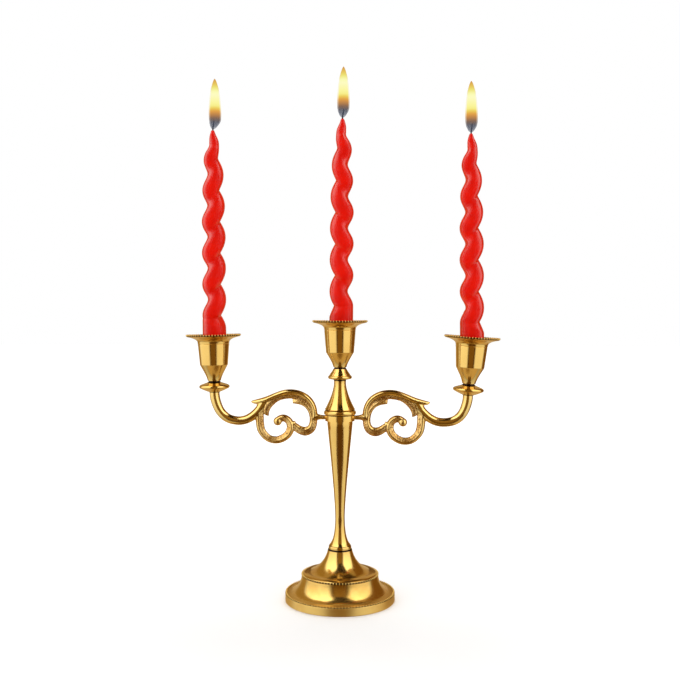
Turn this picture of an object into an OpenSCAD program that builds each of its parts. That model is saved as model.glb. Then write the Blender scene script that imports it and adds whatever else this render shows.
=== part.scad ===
// Three-light brass candelabrum with twisted taper candles.
// Millimetres. +Z is up, the arms lie along X, and the origin is the centre of the base on the table.

/* [Stand] */
// Diameter of the foot
base_d = 98.4; // [94:0.2:108]
// Wall of the hollow foot
base_wall = 2.2; // [1.6:0.1:2.8]
// Height of the turned column between the foot and the arm ring
column_h = 115.6; // [90:0.2:150]
// Radius of the column at its waist
waist_r = 4.3; // [4.1:0.05:5.6]

/* [Arms] */
// Distance from the axis to each cup seat
arm_reach = 113.6; // [106:0.2:122]
// Half-thickness of the scrollwork from front to back
arm_depth = 3.9; // [3:0.1:4.6]
// Outward lean of the cup on the left arm, in degrees
left_lean = 1; // [0:0.5:2]
// Outward lean of the cup on the right arm, in degrees
right_lean = 4; // [3:0.5:4]

/* [Cups] */
// Diameter of the drip pan
pan_d = 48.6; // [44:0.2:54]
// Height of a cup from its seat to the rim of its pan
cup_h = 42.3; // [40:0.1:46]

/* [Candles] */
// Diameter of the candle's plain butt
candle_d = 21.2; // [20:0.2:22]
// Height of the left candle above its drip pan
left_candle_h = 184.5; // [180:0.5:240]
// Height of the centre candle above its drip pan
centre_candle_h = 180.5; // [180:0.5:240]
// Height of the right candle above its drip pan
right_candle_h = 180; // [180:0.5:240]
// Height of one turn of the twist
twist_pitch = 28; // [24:0.1:34]
// Height of a flame above the tip of its candle
flame_h = 44; // [30:1:60]
// How far a draught carries the flames to the right
draught = 1; // [0:0.1:1.2]

/* [Hidden] */

$fn = 96;
gold = "goldenrod";
old_gold = "darkgoldenrod";
steel = "silver";
wax = "red";

// Heights of the joints up the stem
base_h = 45.8;
ring_z = base_h + column_h;
ring_h = 5;
stem_z = ring_z + ring_h + 0.1;
stem_h = 42;
centre_cup_z = stem_z + stem_h;

// The tie rod holds foot, column, ring and upper stem together
rod_r = 2.5;
rod_clear = 0.05;
hub_z = 41.3;
washer_t = 1.6;
nut_t = 4;
rod_end = 3;
rod_depth = 20;

// The arm ring turns on a spigot at the top of the column
spigot_r = 8;
spigot_clear = 0.05;
ring_r = 13.4;
ring_pad = 13;
ring_gap = 0.05;

// Arm end, where a cup seat stands: it sinks a little as the arm is bent outwards
function arm_end_z(lean) = ring_z + 25.2 - 0.45 * lean;
arm_end_r = 4.5;
seat_h = 9.7;

// Screw that holds each cup
screw_r = 2;
screw_head_r = 3.8;
screw_head_h = 2;
screw_bite = 8;
slot_w = 1.1;
slot_depth = 0.9;

// Socket in a cup: it narrows downwards, and so does the candle's butt
socket_r = 12.1;
socket_floor = 22;
pan_floor = cup_h - 1.4;
socket_taper = 0.9;
butt_taper = 1;
butt_gap = 0.3;
butt_z = socket_floor + screw_head_h + butt_gap;

// Twist of a candle: a bar of wax coiled closely round the axis
wax_r = 8.15;
coil_r = 2.5;
coil_slant = 0.466;
coil_end = 159;
twist_h = 176;
tip_cut = 0.2;
candle_sides = 20;
candle_rows = 56;
wick_r = 0.7;
wick_h = 10.5;
wick_lean = 6;
flame_r = 5.45;
flame_foot = 3;

// ---- Curves ----

// Stretch of an ellipse about c, from angle a to angle b
function arc(c, rx, rz, a, b, n = 10) =
    [for (i = [0 : n]) let (t = a + (b - a) * i / n) [c[0] + rx * cos(t), c[1] + rz * sin(t)]];

// Cubic curve with end points p and s and handles q and r
function bezier(p, q, r, s, n = 12) =
    [for (i = [0 : n]) let (t = i / n, u = 1 - t)
        u * u * u * p + 3 * u * u * t * q + 3 * u * t * t * r + t * t * t * s];

// Smooth curve through every point of list p, with n steps between neighbours
function through(p, n = 2) = let (last = len(p) - 1)
    [for (i = [0 : last - 1]) for (k = [0 : (i == last - 1 ? n : n - 1)]) let (
        t = k / n,
        a = i == 0 ? 2 * p[0] - p[1] : p[i - 1],
        b = p[i],
        c = p[i + 1],
        d = i == last - 1 ? 2 * p[last] - p[last - 1] : p[i + 2])
        (2 * b + (c - a) * t + (2 * a - 5 * b + 4 * c - d) * t * t
            + (3 * b - a - 3 * c + d) * t * t * t) / 2];

// ---- Turned stand ----

module base() {
    foot_r = base_d / 2;
    band_h = 7.2;
    drum_r = foot_r - 14.9;
    drum_z = 23.3;
    flare = [foot_r - 1.3, 22.9];
    top_z = 25.9;
    w = base_wall;
    color(gold) rotate_extrude() polygon(concat(
        [[foot_r - w, 0], [foot_r - 0.3, 0], [foot_r, 0.4], [foot_r, band_h - 0.5], [foot_r - 0.4, band_h]],
        arc(flare, 13.4, 15.4, -95, -176, 14),
        [[drum_r, drum_z]],
        arc([drum_r - 6, drum_z - 0.2], 5.5, top_z - drum_z + 0.2, 8, 90, 8),
        bezier([drum_r - 7.4, top_z + 0.1], [16, 30.6], [12, 39.6], [11, base_h - 0.6], 14),
        [[10.7, base_h], [rod_r + 0.25, base_h], [rod_r + 0.25, hub_z], [11 - w, hub_z]],
        bezier([11.2 - w, hub_z - 0.5], [12 - w, 37], [15.4 - w, 28.6], [drum_r - 7.6, top_z - w], 12),
        [[drum_r - w - 0.6, drum_z - w - 1.2]],
        arc(flare, 13.4 + w, 15.4 + w, -172, -106, 12),
        [[foot_r - w, band_h - w - 0.8]]));
}

module base_washer() {
    color(steel) translate([0, 0, hub_z - washer_t]) difference() {
        cylinder(r = 7.6, h = washer_t);
        translate([0, 0, -1]) cylinder(r = rod_r + 0.25, h = washer_t + 2);
    }
}

module base_nut() {
    color(steel) translate([0, 0, hub_z - washer_t - nut_t]) difference() {
        cylinder(r = 4.6, h = nut_t, $fn = 6);
        translate([0, 0, -1]) cylinder(r = rod_r + rod_clear, h = nut_t + 2);
    }
}

module tie_rod() {
    z = hub_z - washer_t - nut_t - rod_end;
    color(steel) translate([0, 0, z]) cylinder(r = rod_r, h = stem_z + rod_depth - z);
}

module column() {
    foot_r = 10.1;
    top_r = 11.35;
    waist_z = 28;
    color(gold) translate([0, 0, base_h]) rotate_extrude() polygon(concat(
        [[rod_r + 0.2, 0], [foot_r - 0.4, 0]],
        arc([foot_r - 0.4, 1.7], 0.5, 1.7, -80, 80, 6),
        bezier([foot_r - 0.8, 4.2], [waist_r + 1.2, 7.8], [waist_r, 18], [waist_r, waist_z], 12),
        bezier([waist_r, waist_z], [waist_r + 0.05, 44], [8.4, column_h - 33], [top_r, column_h - 2.6], 18),
        [[top_r, column_h - 0.3], [top_r - 0.3, column_h], [spigot_r, column_h]],
        [[spigot_r, column_h + ring_h + 0.1], [rod_r + 0.2, column_h + ring_h + 0.1]]));
}

module upper_stem() {
    flange_r = 14.3;
    neck_r = 5.35;
    knob_r = 10.7;
    difference() {
        color(gold) translate([0, 0, stem_z]) rotate_extrude() polygon(concat(
            [[0, 0], [flange_r - 0.5, 0]],
            arc([flange_r - 0.5, 2], 0.6, 2, -80, 80, 6),
            bezier([flange_r - 0.8, 5.3], [10.2, 10.7], [5.7, 21.4], [neck_r, 28.4], 14),
            [[neck_r, 30.3], [neck_r + 0.4, 31.7]],
            arc([knob_r - 1.6, 33.9], 1.6, 1.6, -85, 60, 8),
            bezier([knob_r - 1, 35.5], [8.7, 37.2], [7.2, 38.7], [5.9, stem_h - 0.6], 6),
            [[5.5, stem_h - 0.3], [5.5, stem_h], [0, stem_h]]));
        translate([0, 0, stem_z - 1]) cylinder(r = rod_r + rod_clear, h = rod_depth + 2);
        translate([0, 0, centre_cup_z - screw_bite - 1]) cylinder(r = screw_r + rod_clear, h = screw_bite + 2);
    }
}

// ---- Arm tier ----

module arm_ring() {
    color(gold) translate([0, 0, ring_z + ring_gap]) difference() {
        intersection() {
            cylinder(r = ring_r, h = ring_h - 2 * ring_gap);
            translate([-ring_pad, -ring_r - 1, -1]) cube([2 * ring_pad, 2 * ring_r + 2, ring_h + 2]);
        }
        translate([0, 0, -1]) cylinder(r = spigot_r + spigot_clear, h = ring_h + 2);
    }
}

// Sections of a strand, as parts of its half-width and half-depth: a round bar, and a bar with a
// proud outer lip and a lower inner one, as the scrolls are cast
bar = [for (i = [0 : 9]) [cos(36 * i), sin(36 * i)]];
lip_half = [[0.84, 0.62], [0.42, 0.98], [0.02, 0.62], [-0.42, 0.72], [-0.82, 0.46]];
lip = concat([[1, 0]], lip_half, [[-1, 0]], [for (i = [4 : -1 : 0]) [lip_half[i][0], -lip_half[i][1]]]);

// Strand of the scrollwork. Each point is [x, z, half-width, half-depth], and the section's outer
// side lies to the left of the way the points run
module strand(points, section, steps = 2) {
    path = through(points, steps);
    last = len(path) - 1;
    m = len(section);
    function across(i) = let (
        t = path[min(i + 1, last)] - path[max(i - 1, 0)],
        l = norm([t[0], t[1]])) [-t[1] / l, t[0] / l];
    rings = [for (i = [0 : last]) let (a = across(i), p = path[i]) for (s = section)
        [p[0] + a[0] * s[0] * p[2], s[1] * p[3], p[1] + a[1] * s[0] * p[2]]];
    sides = [for (i = [0 : last - 1]) for (j = [0 : m - 1]) let (
        a = i * m + j, b = i * m + (j + 1) % m, c = a + m, d = b + m) each [[a, b, d], [a, d, c]]];
    polyhedron(rings, concat([[for (j = [m - 1 : -1 : 0]) j], [for (j = [0 : m - 1]) last * m + j]], sides));
}

// Scrolled arm on the right-hand side, with x and z from the axis and from the foot of the ring.
// The strands are cast together: resize() to nothing keeps their size and makes them one mesh
module scrolled_arm(lean) {
    d = arm_depth;
    mid = ring_h / 2;
    grow = arm_reach - 113.6;
    end_x = arm_reach;
    end_z = arm_end_z(lean) - ring_z;
    sink = (end_z - 24.9) / 2;
    stub = [[ring_pad, mid + 0.4, 2, 2.9], [15, mid + 0.4, 2, 2.9], [18.5, mid + 0.6, 2.4, 2.9],
        [24, mid + 0.8, 4.2, d - 0.6]];
    crest = [[22.4, 3, 2.2, d - 0.6], [22.9, 9.5, 2.3, d], [25.3, 15.6, 2.4, d], [29.6, 20.5, 2.5, d],
        [36, 24, 2.5, d], [43, 25.4, 2.5, d], [50, 24.9, 2.5, d], [57, 22.6, 2.5, d], [65, 19.2, 2.6, d],
        [70, 17.6, 2.5, d - 0.6], [75, 16.5, 2.2, d - 1.4], [78.4, 16.4, 1.5, d - 2.2], [80.3, 16.8, 0.5, 0.6]];
    inner_leaf = [[31.5, 18.5, 2.4, 1.6], [37, 21.2, 2.6, 1.8], [43, 21.8, 2.4, 2.2], [49, 21.6, 2.5, 2.6],
        [55, 20.2, 2.6, 2.8], [60.4, 17.4, 3.2, 2.9], [65.4, 13.2, 4, 3], [66.6, 9, 3.4, 2.8],
        [66, 6, 2.2, 2.2], [64.4, 3.7, 0.3, 0.6]];
    hook = [[42.6, 16.9, 2, 1.5], [38.6, 17.2, 2.7, 2.4], [34.2, 16.5, 3, 2.8], [29.6, 13.8, 3, 3],
        [26, 9, 3.1, 3.1], [24.1, 3, 3.4, 3.2], [24.1, -2.6, 3.6, 3.3], [26.3, -7.6, 3.9, 3.4],
        [31.2, -9.9, 4.1, 3.4], [36.2, -8.6, 3.8, 3.2], [40.8, -5.4, 3.4, 2.8], [45, -2, 2.6, 2]];
    big_scroll = [[70.8, 14.1, 2.4, 2.4], [72, 9.6, 3.3, 3.1], [72.5, 4.6, 3.7, d - 0.4],
        [72.4, -0.4, 3.8, d - 0.4], [72.2, -3.4, 3.8, d - 0.4], [71.2, -8.6, 3.7, d - 0.4],
        [68.2, -13.3, 3.5, d - 0.4], [63.4, -16.9, 3.4, d - 0.4], [57.4, -17.9, 3.4, d - 0.4],
        [51.4, -16.1, 3.5, d - 0.4], [46.6, -12, 3.6, d - 0.4], [44.5, -6.4, 3.6, d - 0.5],
        [45.8, -1.2, 3.4, d - 0.6], [49.4, 1.6, 3.3, d - 0.6], [52.8, 1.8, 3.2, d - 0.7], [55.6, 0.6, 3, 2.6]];
    tip = [[41.8, -4.2, 1.6, 1.8], [41.3, -2, 1.1, 1.4], [40.1, -0.4, 0.3, 0.6]];
    swan = [[67.6, 16.9, 3.2, 2.8], [70.2, 13.2, 4.2, 3.2], [73.3, 8.8, 4, 3.6], [76.8, 5.2, 4.1, 3.9],
        [80.4, 2.6, 4, 4],
        [85 + grow * 0.2, 0.3, 3.95, 3.95], [90.4 + grow * 0.4, -0.8, 3.95, 3.95],
        [95.8 + grow * 0.6, -0.4 + sink * 0.3, 3.95, 3.95], [100.9 + grow * 0.8, 1.2 + sink * 0.8, 4.05, 4.05],
        [105.6 + grow, 4.5 + sink * 1.4, 4.15, 4.15], [109.4 + grow, 9.4 + sink * 1.8, 4.25, 4.25],
        [112 + grow, 15.6 + sink * 2, 4.4, 4.4], [end_x - 0.2, 21.5 + sink * 2, arm_end_r, arm_end_r],
        [end_x, end_z + 1.5, arm_end_r, arm_end_r]];
    resize([0, 0, 0]) difference() {
        translate([0, 0, ring_z]) union() {
            strand(stub, bar, 1);
            strand(crest, bar);
            strand(inner_leaf, bar);
            strand(hook, lip);
            strand(big_scroll, lip);
            strand(tip, bar, 1);
            strand(swan, bar);
            translate([56.2, 0, -1]) scale([1, 0.9, 1]) sphere(r = 3.9, $fn = 14);
        }
        on_arm_end(lean) {
            translate([-10, -10, 0]) cube([20, 20, 5]);
            translate([0, 0, -screw_bite]) cylinder(r = screw_r + 0.15, h = screw_bite + 1, $fn = 16);
        }
    }
}

// Places a child on the end of the right-hand arm, leaning outwards
module on_arm_end(lean) {
    translate([arm_reach, 0, arm_end_z(lean)]) rotate([0, lean, 0]) children();
}

// Turned seat between the arm and its cup
module seat() {
    rim_r = 13.6;
    rotate_extrude() polygon(concat(
        [[screw_r + 0.1, 0], [arm_end_r + 0.3, 0]],
        bezier([arm_end_r + 0.5, 0.4], [7.4, 1.3], [9.9, 2.5], [rim_r - 0.8, 4.1], 6),
        arc([rim_r - 1.1, 5.2], 1.1, 1.1, -70, 65, 6),
        bezier([rim_r - 0.8, 6.3], [10.6, 7.5], [7.9, 8.3], [6.1, 9.2], 6),
        [[5.7, 9.4], [5.7, seat_h], [screw_r + 0.1, seat_h]]));
}

// ---- Cups ----

// Cup with its drip pan, standing on z = 0; its cone is cone_h tall
module cup(cone_h = 15.3) {
    pan_r = pan_d / 2;
    body_r = 12.5;
    top_r = 14.1;
    lip_z = cup_h - 6.3;
    rotate_extrude() polygon(concat(
        [[screw_r + 0.1, 0], [5, 0], [5.1, 0.8]],
        bezier([5.9, 0.9], [6.7, cone_h * 0.31], [8.6, cone_h * 0.54], [body_r - 0.1, cone_h - 0.2], 8),
        [[body_r, cone_h], [top_r - 0.1, lip_z - 2.4], [top_r - 0.2, lip_z - 2], [top_r, lip_z - 1.6]],
        bezier([top_r + 0.2, lip_z], [top_r + 0.9, lip_z + 2.2], [pan_r - 5.6, lip_z + 3.5],
            [pan_r - 2, cup_h - 2], 8),
        [[pan_r - 0.6, cup_h - 1.7], [pan_r, cup_h - 1], [pan_r - 0.1, cup_h - 0.3], [pan_r - 0.5, cup_h]],
        [[pan_r - 1.8, cup_h]],
        [[pan_r - 3.2, cup_h - 0.7], [socket_r + 3, pan_floor - 0.1], [socket_r + 0.4, pan_floor]],
        [[socket_r, pan_floor - 0.4], [socket_r - socket_taper, socket_floor + 0.5]],
        [[socket_r - socket_taper - 0.5, socket_floor], [screw_r + 0.1, socket_floor]]));
}

// Slotted screw from the floor of the cup into whatever carries it
module cup_screw(length) {
    translate([0, 0, socket_floor]) difference() {
        rotate_extrude() polygon(concat(
            [[0, -length], [screw_r - 0.4, -length], [screw_r, -length + 0.5], [screw_r, 0], [screw_head_r, 0]],
            arc([screw_head_r - 1, screw_head_h - 1], 1, 1, 0, 90, 4),
            [[0, screw_head_h]]));
        translate([-screw_head_r - 1, -slot_w / 2, screw_head_h - slot_depth])
            cube([2 * screw_head_r + 2, slot_w, slot_depth + 1]);
    }
}

// ---- Candles ----

// Radius of the wax bar and of its coil at a distance below the tip
function bar_at(u) = lookup(u, [[0, 1], [1.5, 1.6], [5, 2.6], [10, 4], [15, 4.7], [23, 6.1], [32, 6.8],
    [46, 7.4], [62, 7.8], [85, 8.1], [110, wax_r]]);
function coil_at(u) = lookup(u, [[0, 0], [14, 0.5], [24, 1.7], [41, 2.1], [62, 2.3], [90, coil_r]]);

// Reach of the coiled bar from the candle's axis at distance u below the tip and at angle a: the
// furthest that any ball of wax along the coil comes, over the turn below and the turn above
function wax_reach(u, a) = max([for (s = [-13 : 13]) let (
    v = u + s * 0.9,
    r = bar_at(max(v, 0)),
    c = coil_at(max(v, 0)),
    turn = coil_end - 360 * v / twist_pitch,
    drop = v - u - coil_slant * c * sin(turn),
    near = c * cos(a - turn),
    left = r * r - drop * drop - c * c + near * near)
    v < 0 || left < 0 ? 0.8 : near + sqrt(left)]);

// Shoulder where the plain butt runs out, at height z above the pan and angle a: the last turn of
// the coil runs down into it, so it stands higher on that side
function butt_reach(z, a) =
    candle_d / 2 * lookup(z - 5 * (1 - cos(a)), [[5, 1], [8, 0.9], [15, 0.62], [16, 0]]);

// Twisted candle h high, with z from the drip pan. The twist is cast from the tip downwards.
// hand is 1 for a right-hand twist, -1 for a left-hand one
module candle(h, hand) {
    n = candle_sides;
    low = butt_z - pan_floor;
    levels = concat([low, 1], [for (i = [0 : candle_rows]) h - twist_h + (twist_h - tip_cut) * i / candle_rows]);
    last = len(levels) - 1;
    function reach(z, a) = z < 3 ? candle_d / 2 - (z < 0 ? butt_taper : 0)
        : min(max(wax_reach(h - z, a), butt_reach(z, a)), candle_d / 2 + 0.2);
    skin = [for (z = levels) for (j = [0 : n - 1]) let (a = 360 * j / n, r = reach(z, a))
        [hand * r * cos(a), r * sin(a), z]];
    sides = [for (i = [0 : last - 1]) for (j = [0 : n - 1]) let (
        a = i * n + j, b = i * n + (j + 1) % n, c = a + n, d = b + n) each [[a, d, b], [a, c, d]]];
    faces = concat([[for (j = [0 : n - 1]) j], [for (j = [n - 1 : -1 : 0]) last * n + j]], sides);
    polyhedron(skin, hand > 0 ? faces : [for (f = faces) [for (k = [len(f) - 1 : -1 : 0]) f[k]]]);
}

// Wick of a candle h high, bent a little by the draught, standing flush on the blunt tip of the wax
module wick(h) {
    difference() {
        translate([0, 0, h - 0.5]) rotate([0, wick_lean * draught / 1.2, 0]) cylinder(r = wick_r, h = wick_h);
        translate([-2, -2, h - tip_cut - 2]) cube([4, 4, 2]);
    }
}

// Flame of a candle h high, open below where the wick stands in it
module flame(h) {
    hole_r = wick_r + 1.1;
    wide_z = flame_h * 0.32;
    translate([draught, 0, h]) rotate_extrude() polygon(concat(
        [[hole_r, flame_foot]],
        bezier([hole_r + 0.4, flame_foot], [3.6, 4.7], [flame_r, wide_z * 0.6], [flame_r, wide_z], 8),
        bezier([flame_r, wide_z], [flame_r, flame_h * 0.63], [4.2, flame_h * 0.9], [0, flame_h], 12),
        [[0, wick_h + 0.9], [wick_r + 0.5, wick_h]]));
}

// ---- Placing ----

// Places a child on the end of the left or the right arm, on its cup seat
module on_side(side, lean) {
    mirror([side < 0 ? 1 : 0, 0, 0]) on_arm_end(lean) children();
}

// Places a child on the pan of a cup. The candles stand loosely in their sockets: each has a shift
// and a tilt of its own, and none follows the lean of its cup
module on_centre_pan() {
    translate([1.1, 0, centre_cup_z + pan_floor]) rotate([0, 0.35, 0]) children();
}

module on_side_pan(side, lean, shift, tilt) {
    x = arm_reach + sin(lean) * (seat_h + (socket_floor + pan_floor) / 2);
    z = arm_end_z(lean) + cos(lean) * (seat_h + pan_floor);
    translate([side * x + shift, 0, z]) rotate([0, tilt, 0]) children();
}

module on_left_pan() { on_side_pan(-1, left_lean, 0.9, -0.25) children(); }
module on_right_pan() { on_side_pan(1, right_lean, 0.55, -0.5) children(); }

module left_arm() { color(old_gold) mirror([1, 0, 0]) scrolled_arm(left_lean); }
module right_arm() { color(old_gold) scrolled_arm(right_lean); }
module left_seat() { color(gold) on_side(-1, left_lean) seat(); }
module right_seat() { color(gold) on_side(1, right_lean) seat(); }

module centre_cup() { color(gold) translate([0, 0, centre_cup_z]) cup(14.2); }
module left_cup() { color(gold) on_side(-1, left_lean) translate([0, 0, seat_h]) cup(); }
module right_cup() { color(gold) on_side(1, right_lean) translate([0, 0, seat_h]) cup(); }

module centre_screw() {
    color(gold) translate([0, 0, centre_cup_z]) cup_screw(socket_floor + screw_bite - 1);
}
module side_screw(side, lean) {
    color(gold) on_side(side, lean) translate([0, 0, seat_h]) cup_screw(socket_floor + seat_h + screw_bite - 1);
}
module left_screw() { side_screw(-1, left_lean); }
module right_screw() { side_screw(1, right_lean); }

module centre_candle() { color(wax) on_centre_pan() candle(centre_candle_h, -1); }
module left_candle() { color(wax) on_left_pan() candle(left_candle_h, 1); }
module right_candle() { color(wax) on_right_pan() candle(right_candle_h, 1); }

module centre_wick() { color("black") on_centre_pan() wick(centre_candle_h); }
module left_wick() { color("black") on_left_pan() wick(left_candle_h); }
module right_wick() { color("black") on_right_pan() wick(right_candle_h); }

module centre_flame() { color("orange") on_centre_pan() flame(centre_candle_h); }
module left_flame() { color("orange") on_left_pan() flame(left_candle_h); }
module right_flame() { color("orange") on_right_pan() flame(right_candle_h); }

base();
base_washer();
base_nut();
tie_rod();
column();
arm_ring();
upper_stem();
left_arm();
right_arm();
left_seat();
right_seat();
centre_cup();
left_cup();
right_cup();
centre_screw();
left_screw();
right_screw();
centre_candle();
left_candle();
right_candle();
centre_wick();
left_wick();
right_wick();
centre_flame();
left_flame();
right_flame();
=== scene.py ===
# %% [markdown]
# # A brass candelabrum with three twisted candles
#
# The stand and the cups are turned on a lathe, the two arms are cast scrollwork, and a red candle
# burns in each cup. The solid parts are already modelled at their real size. This lesson loads them
# as a fixed frame and dresses them: finer surfaces over the same shapes, and a finish for each
# metal, the wax and the flames.

# %% Load the solid parts
import math

import bmesh
import bpy
from mathutils import Matrix, Vector, kdtree, noise


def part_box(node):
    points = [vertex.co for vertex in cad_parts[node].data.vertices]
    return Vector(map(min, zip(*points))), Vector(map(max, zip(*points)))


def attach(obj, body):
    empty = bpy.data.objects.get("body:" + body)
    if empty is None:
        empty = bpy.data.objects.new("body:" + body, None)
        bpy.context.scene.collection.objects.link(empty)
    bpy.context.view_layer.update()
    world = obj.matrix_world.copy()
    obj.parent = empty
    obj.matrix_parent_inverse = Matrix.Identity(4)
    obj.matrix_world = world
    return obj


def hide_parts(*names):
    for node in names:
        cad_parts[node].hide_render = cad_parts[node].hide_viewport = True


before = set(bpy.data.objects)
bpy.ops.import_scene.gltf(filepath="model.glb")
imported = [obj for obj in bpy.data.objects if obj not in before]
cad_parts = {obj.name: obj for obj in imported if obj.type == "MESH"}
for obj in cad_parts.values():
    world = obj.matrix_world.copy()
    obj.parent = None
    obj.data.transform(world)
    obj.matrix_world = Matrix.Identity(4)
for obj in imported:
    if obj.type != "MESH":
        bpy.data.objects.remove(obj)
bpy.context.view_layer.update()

# %% [markdown]
# ## Camera
#
# The camera stands some 80 cm away, a few degrees to the right of straight ahead, with its eye a
# centimetre above the rim of the middle pan. A long lens this low keeps the candles upright and
# shows the pans almost edge on.

# %% Camera
VIEW_DISTANCE = 0.82579
EYE_HEIGHT = 0.259515
YAW = math.radians(4.142)
PITCH = math.atan(29 / 925)  # looks down 29 in 925
SENSOR_WIDTH = 36
FOCAL_WIDTHS = 925 / 680  # focal length, in widths of the sensor

lens = bpy.data.cameras.new("camera")
lens.sensor_width = SENSOR_WIDTH
lens.lens = SENSOR_WIDTH * FOCAL_WIDTHS
camera = bpy.data.objects.new("camera", lens)
camera.location = (VIEW_DISTANCE * math.sin(YAW), -VIEW_DISTANCE * math.cos(YAW), EYE_HEIGHT)
camera.rotation_euler = (math.pi / 2 - PITCH, 0, YAW)
bpy.context.scene.collection.objects.link(camera)
bpy.context.scene.camera = camera
print("camera at", [round(c, 4) for c in camera.location])

# %% [markdown]
# ## Shader maths
#
# A finish is easier to read as sums than as a web of nodes. `Flow` wraps the output of a node, so
# that Python arithmetic on it adds Math nodes. `Nodes` has one way to add any other node: its type,
# its settings, and the values or links of its sockets. `Finish` is a material made that way.

# %% Flow, Nodes and Finish
class Flow:
    """A value that changes over a surface."""

    def __init__(self, nodes, socket):
        self.nodes = nodes
        self.socket = socket

    def math(self, operation, *values):
        return self.nodes.node("ShaderNodeMath", {"operation": operation}, dict(enumerate(values)))

    def __add__(self, other):
        return self.math("ADD", self, other)

    def __sub__(self, other):
        return self.math("SUBTRACT", self, other)

    def __rsub__(self, other):
        return self.math("SUBTRACT", other, self)

    def __mul__(self, other):
        return self.math("MULTIPLY", self, other)

    __radd__ = __add__

    def ramp(self, low, high):
        """0 at low, 1 at high, smooth between."""
        return self.nodes.node("ShaderNodeMapRange", {"interpolation_type": "SMOOTHSTEP"},
                               {"Value": self, "From Min": low, "From Max": high})


class Nodes:
    """A tree of nodes that is added to from Python."""

    def __init__(self, tree):
        self.tree = tree

    def plug(self, value, socket):
        if isinstance(value, Flow):
            self.tree.links.new(value.socket, socket)
        else:
            socket.default_value = value

    def node(self, kind, settings=None, values=None, output=0):
        """Adds a node and gives back one of its outputs. `stops` fill a colour ramp."""
        added = self.tree.nodes.new(kind)
        for name, setting in (settings or {}).items():
            if name == "stops":
                stops = added.color_ramp.elements
                for place, colour in setting[1:-1]:
                    stops.new(place)
                for stop, (place, colour) in zip(stops, setting):
                    stop.position, stop.color = place, colour
            else:
                setattr(added, name, setting)
        for socket, value in (values or {}).items():
            self.plug(value, added.inputs[socket])
        return Flow(self, added.outputs[output])


class Finish(Nodes):
    """A material. Its constants go straight on to the sockets of its shader."""

    def __init__(self, name, **constants):
        self.material = bpy.data.materials.new(name)
        self.material.use_nodes = True
        super().__init__(self.material.node_tree)
        self.shader = self.tree.nodes["Principled BSDF"]
        self.set(**constants)

    def position(self):
        return self.node("ShaderNodeTexCoord", output="Object")

    def attribute(self, name, output="Fac"):
        return self.node("ShaderNodeAttribute", {"attribute_name": name}, output=output)

    def grain(self, place, scale, detail=2.0, rough=0.5):
        return self.node("ShaderNodeTexNoise", None,
                         {"Vector": place, "Scale": scale, "Detail": detail, "Roughness": rough})

    def blend(self, share, first, second):
        """A colour that is first where share is 0 and second where it is 1."""
        return self.node("ShaderNodeMix", {"data_type": "RGBA"}, {0: share, 6: first, 7: second}, 2)

    def bump(self, height, strength, distance):
        return self.node("ShaderNodeBump", None,
                         {"Height": height, "Strength": strength, "Distance": distance})

    def set(self, **links):
        for socket, value in links.items():
            self.plug(value, self.shader.inputs[socket.replace("_", " ")])
        return self


def rgb(red, green, blue):
    return (red, green, blue, 1.0)


print("white is", rgb(1, 1, 1))

# %% [markdown]
# ## Turned brass
#
# Brass from the lathe is polished and lacquered, so it mirrors the studio. What keeps it from
# looking like plastic is small: the tool leaves fine rings round the axis, the lacquer wears and
# warms in patches, and fingers dull it. Where two turnings meet and between the beads of a rim,
# shade is painted into the colour as dark lines, with some black tarnish of old polish. Rings and
# dark lines need to know where the axis is, so every turned piece carries an attribute `lathe` with
# its radius and height on the lathe, in millimetres, which stays right on the cups that lean.

# %% Turned brass
BRASS = rgb(0.80, 0.54, 0.16)
WARM_BRASS = rgb(0.72, 0.43, 0.10)
SHADE_AND_TARNISH = rgb(0.04, 0.016, 0.005)

# Where shade is painted dark into the colour, with some tarnish: radius and height on the lathe,
# and how far it spreads, in millimetres
PAN_LINES = ((23.85, 42.0, 1.25),)
CUP_LINES = ((5.2, 0.3, 0.9), (5.9, 9.5, 0.8))
COLUMN_LINES = ((9.7, 45.8, 0.8), (9.5, 49.2, 0.45))
STEM_LINES = ((13.0, 166.5, 0.9), (12.9, 171.0, 0.6), (5.75, 198.0, 0.9), (5.5, 208.4, 0.9))
FOOT_LINES = ((48.2, 7.4, 1.1), (33.9, 23.6, 1.05), (10.7, 45.8, 0.9))


def turned_brass(name, gloss, warmth, rings, lines=(), satin_rim=0.0):
    """Brass with a roughness of gloss, a share of warm patches and tool rings of some strength.
    The band at the foot's rim is duller by satin_rim."""
    finish = Finish(name, Metallic=1.0, Coat_Weight=0.25, Coat_Roughness=0.08)
    place = finish.position()
    patches = finish.grain(place, 38.0, 3.0, 0.6).ramp(0.42, 0.66)
    dust = finish.grain(place, 620.0)
    lathe = finish.attribute("lathe", "Vector")
    tool_marks = finish.grain(lathe, 3.4, 2.0, 0.7)
    rim = finish.node("ShaderNodeSeparateXYZ", None, {"Vector": lathe}).ramp(40, 46)
    colour = finish.blend(patches * warmth, BRASS, WARM_BRASS)
    # painted shade, with some tarnish: the colour turns nearly black near each of these lines
    for radius, height, spread in lines:
        away = finish.node("ShaderNodeVectorMath", {"operation": "DISTANCE"},
                           {0: lathe, 1: (radius, height, 0)}, 1)
        colour = finish.blend(away.ramp(spread, spread * 0.6), colour, SHADE_AND_TARNISH)
    return finish.set(
        Base_Color=colour,
        Roughness=gloss + dust * 0.05 + patches * 0.04 + rim * satin_rim,
        Normal=finish.bump(tool_marks + dust * 0.25, rings, 0.00004))


polished = turned_brass("polished brass", gloss=0.10, warmth=0.35, rings=0.16,
                        lines=PAN_LINES + CUP_LINES + COLUMN_LINES + STEM_LINES)
satin = turned_brass("satin brass", gloss=0.14, warmth=0.8, rings=0.4, lines=FOOT_LINES,
                     satin_rim=0.2)
print("turned finishes:", polished.material.name, "and", satin.material.name)

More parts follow.
